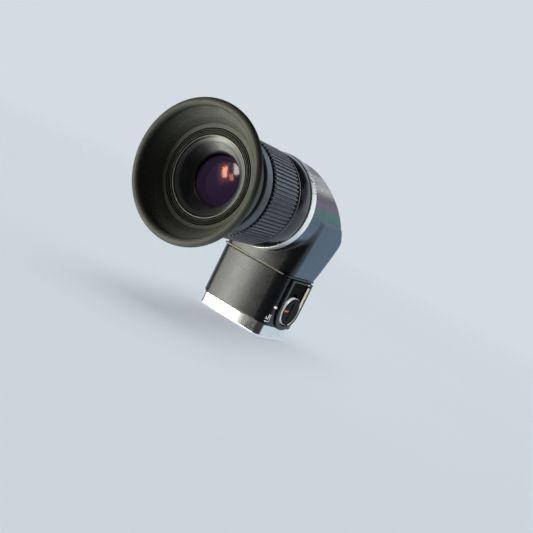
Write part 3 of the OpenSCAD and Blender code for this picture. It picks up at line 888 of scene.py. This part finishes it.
NODE_FINISH = {
    "mount_socket": "brass", "socket_retainer": "steel", "base_screws": "steel", "guide_tube": "inner",
    "front_lens_cell": "inner", "front_lens": "prism_glass", "plate_screws": "plate", "index_dot": "white",
    "seam_ring": "seam", "prism": "prism_glass", "prism_bracket": "inner", "prism_clip": "steel",
    "bracket_screws": "steel", "cover_screws": "steel", "eyepiece_tube": "inner", "keeper_ring": "steel",
    "drive_pin": "steel", "eyepiece_cell": "inner", "field_lens": "inner_glass", "lens_spacer": "inner",
    "zoom_carrier": "inner", "zoom_lens": "prism_glass", "zoom_lens_ring": "inner",
    "detent_spring": "steel", "detent_ball": "steel", "knob_stud": "steel",
}
for node, finish in NODE_FINISH.items():
    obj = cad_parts[node]
    obj.data.materials.clear()
    obj.data.materials.append(FINISH[finish])


# ------------------------------------------------------------------ floor, lights and camera

PALE = (0.66, 0.71, 0.76)                   # the backdrop and the floor
SHEET_SIDE = Vector((-0.042, 0.707, -0.706)).normalized()
SHEET_START = (0.08, 0.34)                  # cosines from SHEET_SIDE where the sheet starts and is full
SHEET = (0.62, 0.72, 0.80)
ROOM = (0.040, 0.042, 0.045)
TARGET = Vector((0.0, -0.015, 0.028))       # what the lights face, near the object's middle


def make_floor():
    """Pale disc under the base, clearer towards its edge. Lights and reflections don't see it."""
    radii, sides = (0.05, 0.15, 0.3, 0.5), 64
    turn = [2 * math.pi * i / sides for i in range(sides)]
    height = base_lo[2] * 0.001 - 0.0002
    points = [(0, 0, height)]
    points += [(r * math.cos(a), r * math.sin(a), height) for r in radii for a in turn]
    faces = [(0, 1 + i, 1 + (i + 1) % sides) for i in range(sides)]
    for k in range(len(radii) - 1):
        a, b = 1 + k * sides, 1 + (k + 1) * sides
        faces += [(a + i, b + i, b + (i + 1) % sides, a + (i + 1) % sides) for i in range(sides)]
    mesh = bpy.data.meshes.new("floor")
    mesh.from_pydata(points, [], faces)
    floor = bpy.data.objects.new("floor", mesh)
    scene.collection.objects.link(floor)
    f = Finish("floor_pale")
    f.set(specular_ior_level=0.1, roughness=0.8, emission_color=PALE, emission_strength=0.5)
    f.colour(f.mix(f.remap(f.noise(0.002, 2), 0, 1), [c * 0.98 for c in PALE], PALE))
    far = f.make("VectorMath", {0: f.place}, operation="LENGTH").outputs["Value"]
    fade = f.remap(far, 0, 1, 0.10, 0.45)
    clear = f.make("BsdfTransparent")
    blend = f.make("MixShader", {0: fade, 1: f.shader.outputs[0], 2: clear.outputs[0]})
    f.tree.links.new(blend.outputs[0], f.tree.nodes["Material Output"].inputs[0])
    mesh.materials.append(f.done())
    floor.visible_glossy = False
    floor.visible_diffuse = False
    floor.visible_shadow = False
    return floor


def soft_light(
    name, direction, distance, width, height, radiance, colour=(1, 1, 1), only=(), without=(), target=None,
    roll=0.0, shadow=True,
):
    """Rectangular light that faces target and isn't seen by the camera. It lights every piece, or only
    some, or all without some."""
    data = bpy.data.lights.new(name, "AREA")
    data.shape = "RECTANGLE"
    data.size, data.size_y = width, height
    data.energy = radiance * math.pi * width * height
    data.color = colour
    data.use_shadow = shadow
    obj = bpy.data.objects.new(name, data)
    scene.collection.objects.link(obj)
    d = Vector(direction).normalized()
    obj.location = (target or TARGET) + d * distance
    obj.rotation_mode = "QUATERNION"
    obj.rotation_quaternion = d.to_track_quat("Z", "Y") @ Quaternion((0, 0, 1), math.radians(roll))
    obj.visible_camera = False
    if only or without:
        group = bpy.data.collections.new(name + "_receivers")
        obj.light_linking.receiver_collection = group
        for receiver in (*only, *without):
            group.objects.link(receiver)
        for link in group.collection_objects:
            link.light_linking.link_state = "INCLUDE" if only else "EXCLUDE"
    return obj


def make_world():
    """A plain pale backdrop for the camera. For reflections and light, a dim room with one broad pale
    sheet behind and below the object."""
    world = bpy.data.worlds.new("studio")
    scene.world = world
    world.use_nodes = True
    tree = world.node_tree
    make, link = tree.nodes.new, tree.links.new
    place = make("ShaderNodeTexCoord")
    dot = make("ShaderNodeVectorMath")
    dot.operation = "DOT_PRODUCT"
    dot.inputs[1].default_value = SHEET_SIDE
    link(place.outputs["Generated"], dot.inputs[0])
    ramp = make("ShaderNodeMapRange")
    ramp.interpolation_type = "SMOOTHSTEP"
    ramp.inputs["From Min"].default_value, ramp.inputs["From Max"].default_value = SHEET_START
    link(dot.outputs["Value"], ramp.inputs["Value"])
    shade = make("ShaderNodeMix")
    shade.data_type = "RGBA"
    shade.inputs[6].default_value = (*ROOM, 1)
    shade.inputs[7].default_value = (*SHEET, 1)
    link(ramp.outputs[0], shade.inputs[0])
    seen = tree.nodes["Background"]
    seen.inputs[0].default_value = (*PALE, 1)
    lit = make("ShaderNodeBackground")
    link(shade.outputs[2], lit.inputs[0])
    path = make("ShaderNodeLightPath")
    both = make("ShaderNodeMixShader")
    link(path.outputs["Is Camera Ray"], both.inputs[0])
    link(lit.outputs[0], both.inputs[1])
    link(seen.outputs[0], both.inputs[2])
    link(both.outputs[0], tree.nodes["World Output"].inputs[0])


floor = make_floor()
make_world()
WARM, COOL = (0.99, 1.0, 0.89), (0.86, 0.93, 1.0)
glass = [eye_lens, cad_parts["field_lens"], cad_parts["prism"]]
soft_light("key_softbox", (-0.662, -0.640, -0.33), 0.62, 0.46, 0.60, 3.2, WARM, without=glass)
soft_light("key_core", (-0.535, -0.779, -0.30), 0.62, 0.12, 0.56, 7.0, WARM, without=glass)
soft_light("low_softbox", (-0.35, -0.60, -0.72), 0.60, 0.40, 0.40, 1.7, WARM, without=glass)
soft_light("top_softbox", (0.25, -0.35, 0.90), 0.70, 0.25, 0.25, 0.4, COOL, without=glass)
soft_light("back_fill", (0.55, 0.75, 0.40), 0.80, 0.50, 0.50, 0.25, COOL)
soft_light("floor_light", (-0.1, 0.1, 1.0), 0.60, 0.60, 0.60, 1.5, (1, 1, 1), only=[floor])

# Reflections that the photograph shows on one piece each.
lens_middle = sum((Vector(c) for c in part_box("eye_lens")), Vector()) / 2
for name, direction, width, height, radiance, colour in (
    ("lens_fill", (-0.45, -0.85, -0.10), 0.75, 0.75, 0.30, (0.85, 0.70, 1.0)),
    ("lens_orange_halo", (-0.42, -0.88, 0.20), 0.12, 0.20, 2.0, (1.0, 0.42, 0.22)),
    ("lens_orange", (-0.405, -0.882, 0.242), 0.045, 0.10, 42.0, (1.0, 0.72, 0.18)),
    ("lens_orange_small", (-0.113, -0.970, 0.215), 0.03, 0.06, 22.0, (1.0, 0.62, 0.18)),
    ("lens_pink", (-0.172, -0.821, 0.544), 0.05, 0.16, 34.0, (0.70, 1.0, 0.45)),
):
    soft_light(
        name, direction, 0.30, width, height, radiance, colour, only=[eye_lens], target=lens_middle, roll=40
    )
for name, direction, width, height, radiance, colour in (
    ("side_blue", (0.447, 0.883, -0.22), 0.40, 0.36, 0.8, (0.22, 0.55, 1.0)),
    ("side_green", (0.442, 0.882, 0.150), 0.10, 0.14, 1.3, (0.05, 0.90, 0.65)),
    ("side_violet", (0.352, 0.878, 0.324), 0.12, 0.10, 1.2, (0.80, 0.35, 1.0)),
    ("side_grey", (0.0, 0.860, 0.500), 0.26, 0.16, 1.6, (1.0, 0.98, 1.0)),
    ("side_streak", (0.099, 0.879, 0.466), 0.030, 0.12, 4.0, (1.0, 0.93, 0.82)),
):
    soft_light(name, direction, 0.60, width, height, radiance, colour, only=[housing])
soft_light("band_white", (0.35, 0.88, 0.22), 0.55, 0.60, 0.60, 0.45, (1, 0.97, 0.92), only=[band])
soft_light(
    "ring_sheen", (0.10, 0.865, 0.47), 0.55, 0.35, 0.35, 1.2, (0.75, 0.88, 1.0), only=[dioptre, collar]
)
soft_light(
    "corner_navy", (0.93, 0.33, -0.12), 0.60, 0.36, 0.50, 0.7, (0.60, 0.75, 1.0),
    only=[column, plate], shadow=False,
)
details = [painted_edge_highlight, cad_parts["index_dot"], pointer, figure_marks, painted_corner_glint]
knob_middle = Vector((rim_hi[0], 0, KNOB_Z)) * 0.001
for name, direction, size, radiance, lit in (
    ("detail_front", (0.55, -0.80, -0.05), 0.30, 6.0, details),
    ("rim_low", (0.45, -0.50, -0.75), 0.30, 5.0, [rim]),
    ("rim_high", (0.40, -0.35, 0.85), 0.18, 20.0, [rim]),
):
    soft_light(
        name, direction, 0.40, size, size, radiance, (1, 0.98, 0.93),
        only=lit, target=knob_middle, shadow=False,
    )

# The camera's place, and its right, up and backward directions: the photograph's viewing angle.
EYE = (0.191657, -0.338908, 0.060536)
RIGHT = (0.75760, 0.48322, 0.43879)
UP = (-0.43088, -0.13470, 0.89230)
BACK = (0.49028, -0.86508, 0.10616)
camera_data = bpy.data.cameras.new("camera")
camera_data.sensor_width = 36
camera_data.lens = 83.32
camera = bpy.data.objects.new("camera", camera_data)
scene.collection.objects.link(camera)
camera.matrix_world = Matrix.Translation(EYE) @ Matrix((RIGHT, UP, BACK)).transposed().to_4x4()
scene.camera = camera
scene.view_settings.view_transform = "Standard"
